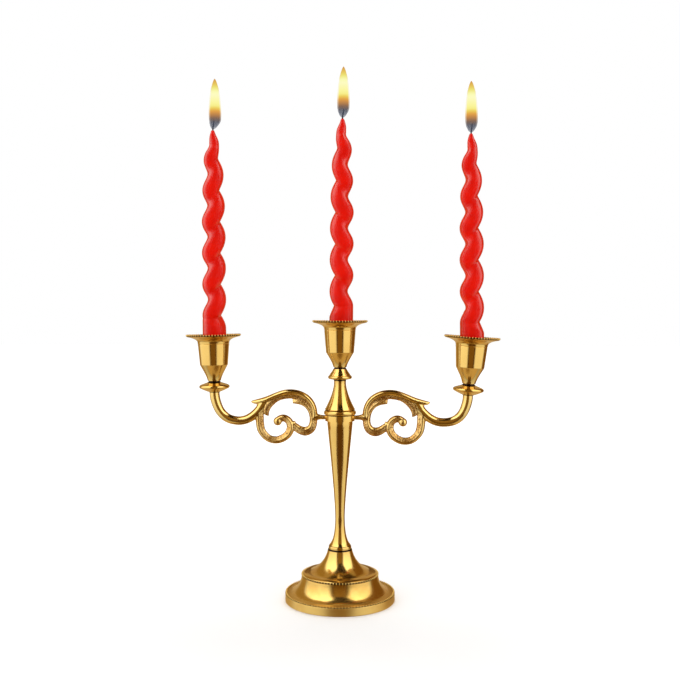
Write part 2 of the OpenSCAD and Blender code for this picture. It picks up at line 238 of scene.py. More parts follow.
# %% [markdown]
# ## Outlines and turning
#
# A turned piece is an outline spun once round the axis. The outlines are made of straight steps,
# stretches of ellipses and cubic curves. A real edge is never sharp: `eased` rounds each corner
# that has a third number, its radius, and keeps a point close beside the rounding so that the flats
# next to it stay flat when they are shaded smooth.

# %% Outline helpers
MM = 0.001


def arc(centre, radii, start, end, steps=16):
    """Stretch of an ellipse between two angles in degrees."""
    angles = [math.radians(start + (end - start) * i / steps) for i in range(steps + 1)]
    return [(centre[0] + radii[0] * math.cos(a), centre[1] + radii[1] * math.sin(a))
            for a in angles]


def cubic(p, q, r, s, steps=24):
    """Curve from p to s that leaves towards q and arrives from r."""
    points = []
    for i in range(steps + 1):
        t = i / steps
        weights = ((1 - t) ** 3, 3 * (1 - t) ** 2 * t, 3 * (1 - t) * t * t, t ** 3)
        points.append(tuple(sum(w * c[k] for w, c in zip(weights, (p, q, r, s))) for k in (0, 1)))
    return points


def eased(outline):
    """Rounds each corner of an outline that has a third number."""
    points = []
    for i, corner in enumerate(outline):
        if len(corner) == 2:
            points.append(corner)
            continue
        at, radius = Vector(corner[:2]), corner[2]
        before = Vector(outline[i - 1][:2]) - at
        after = Vector(outline[(i + 1) % len(outline)][:2]) - at
        start, end = at + before.normalized() * radius, at + after.normalized() * radius
        if before.length > radius * 1.6:
            points.append(tuple(at + before.normalized() * radius * 1.3))
        points += cubic(start, start.lerp(at, 0.6), end.lerp(at, 0.6), end, 5)
        if after.length > radius * 1.6:
            points.append(tuple(at + after.normalized() * radius * 1.3))
    return points


def finished_piece(name, bm, finish, body, slot, *nodes, sharp=50):
    """Makes the object, hands it to its body, and prints how well it fits the solids it covers."""
    mesh = bpy.data.meshes.new(name)
    bm.to_mesh(mesh)
    bm.free()
    mesh.materials.append(finish.material)
    mesh.shade_smooth()
    mesh.set_sharp_from_angle(angle=math.radians(sharp))
    piece = bpy.data.objects.new(name, mesh)
    bpy.context.scene.collection.objects.link(piece)
    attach(piece, body)
    off = 0
    if nodes:
        low = [min(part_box(n)[0][k] for n in nodes) for k in range(3)]
        high = [max(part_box(n)[1][k] for n in nodes) for k in range(3)]
        for k in range(3):
            places = [v.co[k] for v in mesh.vertices]
            off = max(off, abs(min(places) - low[k]), abs(max(places) - high[k]))
        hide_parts(*nodes)
    print(f"{name}: {len(mesh.polygons)} faces, box within {off / MM:.2f} mm of its solids")


def spin_round(bm, steps):
    """Spins every corner and edge once round the upright axis."""
    bmesh.ops.spin(bm, geom=bm.verts[:] + bm.edges[:], cent=(0, 0, 0), axis=(0, 0, 1),
                   dvec=(0, 0, 0), angle=math.tau, steps=steps, use_merge=True, use_duplicate=False)


def turned(name, outline, finish, body, *nodes, steps=144, place=Matrix()):
    """Spins an outline of radius and height, and leaves both on the mesh as `lathe`."""
    bm = bmesh.new()
    lathe = bm.verts.layers.float_vector.new("lathe")
    corners = [bm.verts.new((r * MM, 0, z * MM)) for r, z in outline]
    for a, b in zip(corners, corners[1:] + corners[:1]):
        if a.co.x > 0 or b.co.x > 0:
            bm.edges.new((a, b))
    spin_round(bm, steps)
    bmesh.ops.remove_doubles(bm, verts=bm.verts, dist=1e-6)
    bmesh.ops.recalc_face_normals(bm, faces=bm.faces)
    for v in bm.verts:
        v[lathe] = (math.hypot(v.co.x, v.co.y) / MM, v.co.z / MM, 0)
    bmesh.ops.transform(bm, matrix=place, verts=bm.verts)
    finished_piece(name, bm, finish, body, "polished_brass", *nodes)


print("an eased corner takes", len(eased([(0, 0), (9, 0, 1), (9, 9)])) - 2, "points")

# %% [markdown]
# ## The foot
#
# The foot is spun from sheet brass, so it is hollow and shows a wall of about two millimetres from
# below. From the table up it has an upright band, a flare that curves in to the drum, a rounded
# shoulder, and a trumpet that carries the column. The inside follows the outside.

# %% Foot
BAND_H, DRUM_R, DRUM_Z, SHOULDER_Z, WALL = 7.2, 34.3, 23.3, 25.9, 2.2
BASE_H, HUB_Z, ROD_R = 45.8, 41.3, 2.5
FLARE = (47.9, 22.9)

foot_outline = eased(
    [(47.0, 0, 0.2), (49.2, 0, 0.5), (49.2, BAND_H, 0.45)]
    + arc(FLARE, (13.4, 15.4), -95, -176, 40)
    + [(DRUM_R, DRUM_Z)]
    + arc((DRUM_R - 6, DRUM_Z - 0.2), (5.5, SHOULDER_Z - DRUM_Z + 0.2), 8, 90, 18)
    + cubic((DRUM_R - 7.4, SHOULDER_Z + 0.1), (16, 30.6), (12, 39.6), (11, BASE_H - 0.6), 40)
    + [(10.7, BASE_H), (ROD_R + 0.25, BASE_H), (ROD_R + 0.25, HUB_Z), (11 - WALL, HUB_Z)]
    + cubic((11.2 - WALL, HUB_Z - 0.5), (12 - WALL, 37), (15.4 - WALL, 28.6),
            (DRUM_R - 7.6, SHOULDER_Z - WALL))
    + [(DRUM_R - WALL - 0.6, DRUM_Z - WALL - 1.2)]
    + arc(FLARE, (13.4 + WALL, 15.4 + WALL), -172, -106, 24)
    + [(47.0, BAND_H - WALL - 0.8)])
turned("foot_turned", foot_outline, satin, "stand", "base", steps=192)

# %% [markdown]
# ## The column and the upper stem
#
# Both are turned brass, held by a rod through the middle. The column swells into a bead at its
# foot, narrows to a waist, and flares again under the arm ring. The upper stem is a bell with a
# flange, and ends in a knob under the centre cup.

# %% Column and upper stem
COLUMN_H, WAIST_R, RING_H = 115.6, 4.3, 5
RING_Z = BASE_H + COLUMN_H
STEM_Z, STEM_H = RING_Z + RING_H + 0.1, 42
CENTRE_CUP_Z = STEM_Z + STEM_H


def raised(outline, z):
    """The same outline, z higher."""
    return [(r, height + z) for r, height in outline]


column_outline = eased(
    [(ROD_R + 0.2, 0), (9.7, 0)]
    + arc((9.7, 1.7), (0.5, 1.7), -80, 80, 10)
    + cubic((9.3, 4.2), (WAIST_R + 1.2, 7.8), (WAIST_R, 18), (WAIST_R, 28))
    + cubic((WAIST_R, 28), (WAIST_R + 0.05, 44), (8.4, COLUMN_H - 33),
            (11.35, COLUMN_H - 2.6), 40)[1:]
    + [(11.35, COLUMN_H, 0.3), (8, COLUMN_H), (8, COLUMN_H + RING_H + 0.1),
       (ROD_R + 0.2, COLUMN_H + RING_H + 0.1)])
turned("column_turned", raised(column_outline, BASE_H), polished, "stand", "column")

stem_outline = eased(
    [(0, 0), (12.9, 0)]
    + arc((13.2, 2.2), (1.2, 1.9), -85, 70, 16)
    + [(12.9, 4.5, 0.2)]
    + cubic((13.5, 5.3), (10.2, 10.7), (5.7, 21.4), (5.35, 28.4), 40)
    + [(5.35, 30.3), (5.75, 31.7)]
    + arc((9.1, 33.9), (1.6, 1.6), -85, 60, 16)
    + cubic((9.7, 35.5), (8.7, 37.2), (7.2, 38.7), (5.9, STEM_H - 0.6), 16)
    + [(5.5, STEM_H - 0.3), (5.5, STEM_H), (0, STEM_H)])
turned("upper_stem_turned", raised(stem_outline, STEM_Z), polished, "stand", "upper_stem")

# %% [markdown]
# ## Seats and cups
#
# Each arm ends in a turned seat, and a cup stands on it. A cup is one turning: a cone, a tapering
# body, and a drip pan whose rim is drawn up and beaded. The side arms were bent outwards a little,
# so their seats and cups lean. Each is turned upright and then placed by one matrix.

# %% Seats and cups
ARM_REACH, SEAT_H, CUP_H, PAN_R = 113.6, 9.7, 42.3, 24.3
SCREW_HOLE_R, SOCKET_R, SOCKET_FLOOR = 2.1, 12.1, 22
PAN_FLOOR = CUP_H - 1.4
LEFT, RIGHT = -1, 1
WORDS = {LEFT: "left", RIGHT: "right"}
LEAN = {LEFT: 1.0, RIGHT: 4.0}
ON_STEM = Matrix.Translation((0, 0, CENTRE_CUP_Z * MM))


def arm_end_z(side):
    """Height of the end of an arm, where its seat stands."""
    return RING_Z + 25.2 - 0.45 * LEAN[side]


def on_arm_end(side, height=0.0):
    """Places a piece on the end of an arm, height millimetres along the arm's lean."""
    return (Matrix.Translation((side * ARM_REACH * MM, 0, arm_end_z(side) * MM))
            @ Matrix.Rotation(math.radians(side * LEAN[side]), 4, "Y")
            @ Matrix.Translation((0, 0, height * MM)))


seat_outline = eased(
    [(SCREW_HOLE_R, 0), (4.8, 0, 0.1)]
    + cubic((5.0, 0.4), (7.4, 1.2), (9.9, 2.3), (12.4, 3.6), 16)
    + arc((12.1, 5.2), (1.5, 1.55), -70, 65, 18)
    + cubic((12.5, 6.8), (10.6, 7.7), (7.9, 8.4), (6.1, 9.2), 16)
    + [(5.7, 9.4), (5.7, SEAT_H), (SCREW_HOLE_R, SEAT_H)])

BODY_R, TOP_R, LIP_Z = 12.5, 14.1, CUP_H - 6.3
SIDE_CONE_H, CENTRE_CONE_H = 15.3, 14.2


def cup_outline(cone_h):
    """A cup whose cone is cone_h high."""
    return eased(
        [(SCREW_HOLE_R, 0), (5, 0), (5.1, 0.8)]
        + cubic((5.9, 0.9), (6.7, cone_h * 0.31), (8.6, cone_h * 0.54),
                (BODY_R - 0.1, cone_h - 0.2), 24)
        + [(BODY_R, cone_h, 0.15), (TOP_R - 0.1, LIP_Z - 2.4, 0.15), (TOP_R - 0.25, LIP_Z - 2),
           (TOP_R, LIP_Z - 1.6, 0.15)]
        + cubic((TOP_R + 0.2, LIP_Z), (TOP_R + 0.9, LIP_Z + 2.2), (PAN_R - 5.6, LIP_Z + 3.5),
                (PAN_R - 2, CUP_H - 2), 24)
        + [(PAN_R - 0.6, CUP_H - 1.7), (PAN_R, CUP_H - 1, 0.3), (PAN_R - 0.1, CUP_H - 0.3, 0.2),
           (PAN_R - 0.5, CUP_H, 0.2), (PAN_R - 1.8, CUP_H, 0.3), (PAN_R - 3.2, CUP_H - 0.7),
           (SOCKET_R + 3, PAN_FLOOR - 0.1), (SOCKET_R + 0.2, PAN_FLOOR, 0.3),
           (SOCKET_R - 0.9, SOCKET_FLOOR + 0.5), (SOCKET_R - 1.4, SOCKET_FLOOR),
           (SCREW_HOLE_R, SOCKET_FLOOR)])


for side, word in WORDS.items():
    turned(word + "_seat_turned", seat_outline, polished, "arms", word + "_seat",
           place=on_arm_end(side))
    turned(word + "_cup_turned", cup_outline(SIDE_CONE_H), polished, "arms", word + "_cup",
           place=on_arm_end(side, SEAT_H))
turned("centre_cup_turned", cup_outline(CENTRE_CONE_H), polished, "stand", "centre_cup",
       place=ON_STEM)

# %% [markdown]
# ## Beading
#
# The rim of the foot, its shoulder and the drip pans carry a row of small beads, rolled in with a
# wheel. There are hundreds, so each is a sphere of only a few dozen faces, sunk by about half into
# the brass. Beads are squeezed along the row, to keep dark gaps between them, and rougher than the
# turned brass, so that they don't glitter. One mesh holds a whole row.

# %% Beading
SQUEEZE = Matrix.Diagonal((1, 0.62, 1, 1))
bead_brass = turned_brass("beading brass", gloss=0.3, warmth=0.2, rings=0.0)


def beaded_row(name, radius, height, bead, pitch, body, place=Matrix()):
    """A ring of beads of radius bead, about pitch millimetres apart."""
    bm = bmesh.new()
    count = round(math.tau * radius / pitch)
    for i in range(count):
        turn = Matrix.Rotation(math.tau * i / count, 4, "Z")
        spot = turn @ Matrix.Translation((radius * MM, 0, height * MM))
        bmesh.ops.create_uvsphere(bm, u_segments=8, v_segments=5, radius=bead * MM,
                                  matrix=place @ spot @ SQUEEZE)
    print(name, "has", count, "beads")
    finished_piece(name, bm, bead_brass, body, "polished_brass", sharp=80)


beaded_row("foot_beading", 48.1, BAND_H + 0.25, 0.95, 2.7, "stand")
beaded_row("shoulder_beading", 33.8, DRUM_Z + 0.35, 0.95, 2.7, "stand")
pan_beads = dict(radius=PAN_R - 0.45, height=CUP_H - 0.35, bead=0.9, pitch=2.6)
beaded_row("centre_pan_beading", body="stand", place=ON_STEM, **pan_beads)
for side, word in WORDS.items():
    beaded_row(word + "_pan_beading", body="arms", place=on_arm_end(side, SEAT_H), **pan_beads)

# %% [markdown]
# ## Cast brass
#
# The arms come out of a sand mould. Their outer curves are rubbed bright, but the hollows of the
# leaves keep the grain of the sand and a coppery skin that no cloth reaches. Two attributes on the
# mesh say which is which: `rubbed` is 1 on the polished curves, and `hollow` is 1 deep between two
# forms. Deep in the hollows the colour is painted nearly black, as shade with some dark patina.

# %% Cast brass
cast = Finish("cast brass", Metallic=1.0, Coat_Weight=0.1, Coat_Roughness=0.15)
place = cast.position()
rubbed = cast.attribute("rubbed")
hollow = cast.attribute("hollow")
sand = cast.grain(place, 1100.0, 2.0, 0.7)
pits = cast.grain(place, 620.0, 2.0, 0.6).ramp(0.54, 0.68)
patches = cast.grain(place, 130.0, 3.0, 0.6).ramp(0.4, 0.65)
skin = cast.blend(patches, rgb(0.86, 0.58, 0.23), rgb(0.60, 0.31, 0.08))
skin = cast.blend(pits, skin, rgb(0.24, 0.10, 0.02))
colour = cast.blend(rubbed, skin, rgb(0.86, 0.62, 0.22))
# painted shade, with some dark patina: the colour goes nearly black deep in the hollows
colour = cast.blend(hollow * 0.9, colour, rgb(0.12, 0.045, 0.01))
coarse = 1 - rubbed
cast.set(
    Base_Color=colour,
    Roughness=0.10 + coarse * 0.12 + hollow * 0.15 + sand * 0.05,
    Normal=cast.bump((sand - pits * 0.8) * (coarse + 0.05), 0.9, 0.00018))
print("cast finish:", cast.material.name)

# %% [markdown]
# ## Scrolled arms
#
# Each arm is several bars bent into scrolls and leaves, cast as one piece. A bar starts as a
# straight tube, one ring of corners for each step, and is then bent: ring by ring its corners move
# to a path with a width and a depth of its own. Where bars cross, a voxel remesh welds them into
# one skin, and smoothing rounds the joins as the mould does.

# %% Bars of the scrollwork
def through(points, steps):
    """Smooth path through every point, with the given steps between neighbours."""
    points = [Vector(p) for p in points]
    ends = [2 * points[0] - points[1]] + points + [2 * points[-1] - points[-2]]
    path = []
    for a, b, c, d in zip(ends, ends[1:], ends[2:], ends[3:]):
        for k in range(steps):
            t = k / steps
            path.append((2 * b + (c - a) * t + (2 * a - 5 * b + 4 * c - d) * t * t
                         + (3 * b - a - 3 * c + d) * t ** 3) / 2)
    return path + [points[-1]]


def straight_tube(bm, sides, rings):
    """A closed tube of radius 1 with a ring of corners at each whole height."""
    circle = bmesh.ops.create_circle(bm, cap_ends=True, radius=1, segments=sides)["verts"]
    outline = list({edge for v in circle for edge in v.link_edges})
    done = bmesh.ops.spin(bm, geom=outline, cent=(0, 0, 0), axis=(0, 0, 1), dvec=(0, 0, 1), angle=0,
                          steps=rings - 1, use_duplicate=False)["geom_last"]
    top = [part for part in done if isinstance(part, bmesh.types.BMEdge)]
    bmesh.ops.contextual_create(bm, geom=top)


def bar_section(angle):
    """Round bar: across and through, from -1 to 1."""
    return math.cos(angle), math.sin(angle)


def lipped_section(angle):
    """Bar with a proud rounded lip on its outer side and a lower, flatter band inside."""
    across = math.cos(angle)
    lip = math.exp(-((across - 0.42) / 0.42) ** 2)
    return across, math.sin(angle) * (0.66 + 0.34 * lip)


BAR_STEPS, BAR_SIDES = 5, 24


def outwards(path, i):
    """Direction across a path at one of its points, to the left of the way it runs."""
    ahead = path[min(i + 1, len(path) - 1)] - path[max(i - 1, 0)]
    return Vector((-ahead[1], ahead[0])).normalized()


def bend_bar(path, section):
    """Bends a tube along a path of x, z, half-width and half-depth, in millimetres."""
    bm = bmesh.new()
    straight_tube(bm, BAR_SIDES, len(path))
    for v in bm.verts:
        i = round(v.co.z)
        side = outwards(path, i)
        across, deep = section(math.atan2(v.co.y, v.co.x))
        x, z, width, depth = path[i]
        v.co = (x + side[0] * across * width, deep * depth, z + side[1] * across * width)
    return bm


print("a path through 3 points has", len(through([(0, 0), (1, 0), (1, 1)], BAR_STEPS)))

# %% [markdown]
# ### The bars of one arm
#
# They are in millimetres from the stem's axis and from the foot of the arm ring. Each has a
# section, and how far its outer and its inner side are rubbed bright. One seat is a little lower
# than the other, so the swan neck follows its seat.

# %% Bars of one arm
D = 3.9  # half the depth of the main bars


def arm_bars(side):
    """For each bar: its points, its section, and how rubbed it is outside and inside."""
    end_z = arm_end_z(side) - RING_Z
    sink = (end_z - 24.9) / 2
    return [
        # stub from the ring
        ([(13, 2.9, 2, 2.9), (15, 2.9, 2, 2.9), (18.5, 3.1, 2.4, 2.9), (24, 3.3, 4.2, D - 0.6)],
         bar_section, 0.5, 0.5),
        # crest
        ([(22.4, 3, 2.2, D - 0.6), (22.9, 9.5, 2.3, D), (25.3, 15.6, 2.4, D), (29.6, 20.5, 2.5, D),
          (36, 24, 2.5, D), (43, 25.4, 2.5, D), (50, 24.9, 2.5, D), (57, 22.6, 2.5, D),
          (65, 19.2, 2.6, D), (70, 17.6, 2.5, D - 0.6), (75, 16.5, 2.2, D - 1.4),
          (78.4, 16.4, 1.5, D - 2.2), (80.3, 16.8, 0.5, 0.6)],
         bar_section, 1.0, 1.0),
        # leaf inside the crest
        ([(31.5, 18.5, 2.4, 1.6), (37, 21.2, 2.6, 1.8), (43, 21.8, 2.4, 2.2), (49, 21.6, 2.5, 2.6),
          (55, 20.2, 2.6, 2.8), (60.4, 17.4, 3.2, 2.9), (65.4, 13.2, 4, 3), (66.6, 9, 3.4, 2.8),
          (66, 6, 2.2, 2.2), (64.4, 3.7, 0.3, 0.6)],
         bar_section, 0.1, 0.0),
        # hook below the crest
        ([(42.6, 16.9, 2, 1.5), (38.6, 17.2, 2.7, 2.4), (34.2, 16.5, 3, 2.8), (29.6, 13.8, 3, 3),
          (26, 9, 3.1, 3.1), (24.1, 3, 3.4, 3.2), (24.1, -2.6, 3.6, 3.3), (26.3, -7.6, 3.9, 3.4),
          (31.2, -9.9, 4.1, 3.4), (36.2, -8.6, 3.8, 3.2), (40.8, -5.4, 3.4, 2.8), (45, -2, 2.6, 2)],
         lipped_section, 0.55, 0.05),
        # great scroll
        ([(70.8, 14.1, 2.4, 2.4), (72, 9.6, 3.3, 3.1), (72.5, 4.6, 3.7, D - 0.4),
          (72.4, -0.4, 3.8, D - 0.4), (72.2, -3.4, 3.8, D - 0.4), (71.2, -8.6, 3.7, D - 0.4),
          (68.2, -13.3, 3.5, D - 0.4),
          (63.4, -16.9, 3.4, D - 0.4), (57.4, -17.9, 3.4, D - 0.4), (51.4, -16.1, 3.5, D - 0.4),
          (46.6, -12, 3.6, D - 0.4), (44.5, -6.4, 3.6, D - 0.5), (45.8, -1.2, 3.4, D - 0.6),
          (49.4, 1.6, 3.3, D - 0.6), (52.8, 1.8, 3.2, D - 0.7), (55.6, 0.6, 3, 2.6)],
         lipped_section, 0.7, 0.05),
        # small leaf tip where the two scrolls touch
        ([(41.8, -4.2, 1.6, 1.8), (41.3, -2, 1.1, 1.4), (40.1, -0.4, 0.3, 0.6)],
         bar_section, 0.6, 0.3),
        # swan neck that carries the seat
        ([(67.6, 16.9, 3.2, 2.8), (70.2, 13.2, 4.2, 3.2), (73.3, 8.8, 4, 3.6),
          (76.8, 5.2, 4.1, 3.9), (80.4, 2.6, 4, 4), (85, 0.3, 3.95, 3.95),
          (90.4, -0.8, 3.95, 3.95), (95.8, -0.4 + sink * 0.3, 3.95, 3.95),
          (100.9, 1.2 + sink * 0.8, 4.05, 4.05), (105.6, 4.5 + sink * 1.4, 4.15, 4.15),
          (109.4, 9.4 + sink * 1.8, 4.25, 4.25), (112, 15.6 + sink * 2, 4.4, 4.4),
          (ARM_REACH - 0.2, 21.5 + sink * 2, 4.5, 4.5), (ARM_REACH, end_z + 1.5, 4.5, 4.5)],
         bar_section, 0.95, 0.95),
    ]


print("one arm is made of", len(arm_bars(RIGHT)), "bars")

# %% [markdown]
# ### Welding an arm
#
# The bars and the ball at the heart of the scroll go into one mesh, and a mark is kept of how
# rubbed each corner is. Each corner of the remeshed skin takes the marks nearest to it. A spot is
# hollow where its neighbours lie above it. The sand leaves small dents where nothing rubs, and the
# ends are cut flat, against the ring and under the seat.

# %% Weld, smooth and mark an arm
VOXEL = 0.42 * MM
SMOOTH_PASSES, HOLLOW_PASSES = 5, 6
ARM_FOOT, CUT_REACH = 13, 9 * MM
BALL_R, BALL_MARK = 3.9, 0.75
BALL_PLACE = Matrix.Translation((56.2, 0, -1)) @ Matrix.Scale(0.9, 4, (0, 1, 0))


def gather_bars(side):
    """All the bars of an arm in one mesh, and the marks: spots, and how rubbed they are."""
    bm = bmesh.new()
    marks = []
    for points, section, outer, inner in arm_bars(side):
        path = through(points, BAR_STEPS)
        bar = bend_bar(path, section)
        count = len(bar.verts)
        scratch = bpy.data.meshes.new("bar")
        bar.to_mesh(scratch)
        bar.free()
        bm.from_mesh(scratch)
        bpy.data.meshes.remove(scratch)
        bm.verts.ensure_lookup_table()
        for v in bm.verts[-count:]:
            nearest = min(path, key=lambda p: (p[0] - v.co.x) ** 2 + (p[1] - v.co.z) ** 2)
            out = outwards(path, path.index(nearest))
            across = (v.co.x - nearest[0]) * out[0] + (v.co.z - nearest[1]) * out[1]
            share = min(max(across / nearest[2] * 1.6 + 0.45, 0), 1)
            marks.append((v.co.copy(), inner + (outer - inner) * share))
    ball = bmesh.ops.create_uvsphere(bm, u_segments=24, v_segments=16, radius=BALL_R,
                                     matrix=BALL_PLACE)
    marks += [(v.co.copy(), BALL_MARK) for v in ball["verts"]]
    bmesh.ops.recalc_face_normals(bm, faces=bm.faces)
    bmesh.ops.scale(bm, vec=(MM, MM, MM), verts=bm.verts)
    return bm, marks


def weld(bars):
    """One smooth skin over all the bars."""
    mesh = bpy.data.meshes.new("arm bars")
    bars.to_mesh(mesh)
    bars.free()
    rough = bpy.data.objects.new("arm bars", mesh)
    bpy.context.scene.collection.objects.link(rough)
    remesh = rough.modifiers.new("weld", "REMESH")
    remesh.mode, remesh.voxel_size = "VOXEL", VOXEL
    graph = bpy.context.evaluated_depsgraph_get()
    welded = bpy.data.meshes.new_from_object(rough.evaluated_get(graph))
    bpy.data.objects.remove(rough)
    bm = bmesh.new()
    bm.from_mesh(welded)
    for _ in range(SMOOTH_PASSES):
        bmesh.ops.smooth_vert(bm, verts=bm.verts, factor=0.5,
                              use_axis_x=True, use_axis_y=True, use_axis_z=True)
    return bm


def mark_skin(bm, marks):
    """Writes `rubbed` and `hollow` on the skin, and dents it where it isn't rubbed."""
    tree = kdtree.KDTree(len(marks))
    for i, (spot, _) in enumerate(marks):
        tree.insert(spot * MM, i)
    tree.balance()
    rubbed_layer = bm.verts.layers.float.new("rubbed")
    hollow_layer = bm.verts.layers.float.new("hollow")
    bm.normal_update()
    depths = {}
    for v in bm.verts:
        found = tree.find_n(v.co, 4)
        weights = [1 / (distance + 0.2 * MM) for _, _, distance in found]
        total = sum(marks[i][1] * weight for (_, i, _), weight in zip(found, weights))
        v[rubbed_layer] = total / sum(weights)
        around = [edge.other_vert(v) for edge in v.link_edges]
        depths[v] = sum((n.co - v.co).dot(v.normal) for n in around) / len(around)
    for _ in range(HOLLOW_PASSES):
        depths = {v: (depths[v] + sum(depths[edge.other_vert(v)] for edge in v.link_edges))
                  / (1 + len(v.link_edges)) for v in bm.verts}
    for v in bm.verts:
        v[hollow_layer] = min(max((depths[v] / MM - 0.004) / 0.03, 0), 1)
        spot = v.co / MM
        coarse = 1 - v[rubbed_layer]
        dent = noise.noise(spot * 0.9) * 0.10 + noise.noise(spot * 2.1) * 0.07
        v.co += v.normal * dent * coarse * coarse * MM


def close_to(part, spot):
    verts = [part] if isinstance(part, bmesh.types.BMVert) else part.verts
    return all((v.co - spot).length < CUT_REACH for v in verts)


def cut_ends(bm, side):
    """Cuts both ends flat and closes them."""
    ring_end = Vector((ARM_FOOT * MM, 0, 0))
    seat_end = Vector((ARM_REACH * MM, 0, (arm_end_z(side) - RING_Z) * MM))
    up = Matrix.Rotation(math.radians(LEAN[side]), 3, "Y") @ Vector((0, 0, 1))
    for at, out in ((ring_end, Vector((-1, 0, 0))), (seat_end, up)):
        parts = bm.verts[:] + bm.edges[:] + bm.faces[:]
        near = [part for part in parts if close_to(part, at)]
        cut = bmesh.ops.bisect_plane(bm, geom=near, plane_co=at, plane_no=out, clear_outer=True)
        edges = [part for part in cut["geom_cut"] if isinstance(part, bmesh.types.BMEdge)]
        bmesh.ops.holes_fill(bm, edges=edges)


for side, word in WORDS.items():
    bars, marks = gather_bars(side)
    arm = weld(bars)
    mark_skin(arm, marks)
    cut_ends(arm, side)
    bmesh.ops.translate(arm, vec=(0, 0, RING_Z * MM), verts=arm.verts)
    if side == LEFT:
        bmesh.ops.scale(arm, vec=(-1, 1, 1), verts=arm.verts)
        bmesh.ops.reverse_faces(arm, faces=arm.faces)
    finished_piece(word + "_arm_cast", arm, cast, "arms", "cast_brass", word + "_arm", sharp=60)

# %% [markdown]
# ## Finishes for the solid parts that stay
#
# The arm ring is simple and stays as it is, and so do the rod, washer, nut and screws, which sit
# inside. They only need a metal.

# %% Ring, rod and screws
steel = Finish("steel", Metallic=1.0)
wear = steel.grain(steel.position(), 300.0, 3.0)
steel.set(Base_Color=steel.blend(wear, rgb(0.42, 0.42, 0.43), rgb(0.62, 0.61, 0.60)),
          Roughness=0.25 + wear * 0.2)

for finish, names in ((polished, ("arm_ring", "centre_screw", "left_screw", "right_screw")),
                      (steel, ("base_washer", "base_nut", "tie_rod"))):
    for name in names:
        for material_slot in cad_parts[name].material_slots:
            material_slot.material = finish.material
    print("finish set on", ", ".join(names))

# %% [markdown]
# ## Candles
#
# A twisted candle is a bar of wax coiled closely round its own axis. Its surface is the furthest
# reach of a ball that runs along the coil, worked out for each height and angle. The mesh starts as
# a spun line of points, and each point then moves out to that reach. Wax is a soft, slightly
# see-through solid with a deep colour and faint mottling from the mould. Seen straight on it is
# nearly dull, and its gloss grows towards the edges of each coil, so the highlights are thin lines.

# %% Wax
# painted light: the wax glows faintly red by itself, which lifts its colour
wax = Finish("candle wax", IOR=1.45, Specular_IOR_Level=0.06, Coat_Roughness=0.06, Coat_IOR=1.9,
             Emission_Color=rgb(0.08, 0.0005, 0), Emission_Strength=1.0,
             Subsurface_Weight=0.15, Subsurface_Radius=(1.0, 0.2, 0.1), Subsurface_Scale=0.005)
place = wax.position()
mottle = wax.grain(place, 90.0, 3.0, 0.55)
bloom = wax.grain(place, 900.0)
edge = wax.node("ShaderNodeLayerWeight", None, {"Blend": 0.5}, "Facing").ramp(0.12, 0.38)
wax.set(
    Base_Color=wax.blend(mottle.ramp(0.35, 0.7), rgb(0.74, 0.006, 0.0002),
                         rgb(0.65, 0.004, 0.0001)),
    Roughness=0.3 + bloom * 0.1,
    Coat_Weight=0.03 + edge * 0.65,
    Normal=wax.bump(bloom + mottle * 0.6, 0.12, 0.0001))
print("wax finish:", wax.material.name)

# %% Reach of the coiled wax
CANDLE_R, TWIST_PITCH, TWIST_H, COIL_SLANT, COIL_END = 10.6, 28, 176, 0.466, 159
WAX_ROWS, WAX_SIDES = 250, 72
BALL_STEP, BALLS_EACH_WAY, LEAST_REACH = 0.45, 26, 0.8
# Radius of the bar of wax and of its coil, each against the distance below the tip
BAR = [(0, 1), (1.5, 1.7), (5, 2.8), (8, 3.7), (11, 4.3), (15, 4.5), (22, 6.0), (28, 6.7),
       (34, 7.0), (46, 7.4), (62, 7.8), (85, 8.1), (110, 8.15)]
COIL = [(0, 0), (5, 0.3), (10, 0.9), (15, 1.3), (22, 1.8), (30, 2.0), (41, 2.1), (62, 2.3),
        (90, 2.5)]
# Share of the full radius that the plain foot of the candle fills, against height
SHOULDER = [(5, 1), (8, 0.9), (15, 0.62), (16, 0)]


def look_up(x, table):
    """The second number of a table at x, in a straight line between its rows."""
    if x <= table[0][0]:
        return table[0][1]
    for (x0, y0), (x1, y1) in zip(table, table[1:]):
        if x <= x1:
            return y0 + (y1 - y0) * (x - x0) / (x1 - x0)
    return table[-1][1]


def balls_near(u):
    """Balls of wax that may show at distance u below the tip: the square of the radius each
    can still reach, and where it is."""
    balls = []
    for s in range(-BALLS_EACH_WAY, BALLS_EACH_WAY + 1):
        v = u + s * BALL_STEP
        if v >= 0:
            r, c = look_up(v, BAR), look_up(v, COIL)
            turn = math.radians(COIL_END - 360 * v / TWIST_PITCH)
            drop = v - u - COIL_SLANT * c * math.sin(turn)
            balls.append((r * r - drop * drop - c * c, c * math.cos(turn), c * math.sin(turn)))
    return balls


def wax_reach(balls, cos_a, sin_a):
    """How far the furthest ball reaches from the candle's axis in one direction."""
    reach = LEAST_REACH
    for spare, cx, cy in balls:
        near = cx * cos_a + cy * sin_a
        left = spare + near * near
        if left > 0:
            reach = max(reach, near + math.sqrt(left))
    return reach


print("reach 90 mm below the tip:", round(wax_reach(balls_near(90), 1, 0), 2), "mm")

# %% [markdown]
# ### Three candles
#
# Candles never stand quite true, so each has its own height and tilt. The middle one is twisted
# the other way. The foot is plain and sits in the socket.

# %% Candles
def on_pan(x, z, tilt):
    """Places a candle's foot at the height of a pan's floor."""
    return Matrix.Translation((x * MM, 0, z * MM)) @ Matrix.Rotation(math.radians(tilt), 4, "Y")


def side_pan(side, shift, tilt):
    """Places a candle upright in a cup that leans."""
    lean = math.radians(LEAN[side])
    x = ARM_REACH + math.sin(lean) * (SEAT_H + (SOCKET_FLOOR + PAN_FLOOR) / 2)
    return on_pan(side * x + shift, arm_end_z(side) + math.cos(lean) * (SEAT_H + PAN_FLOOR), tilt)


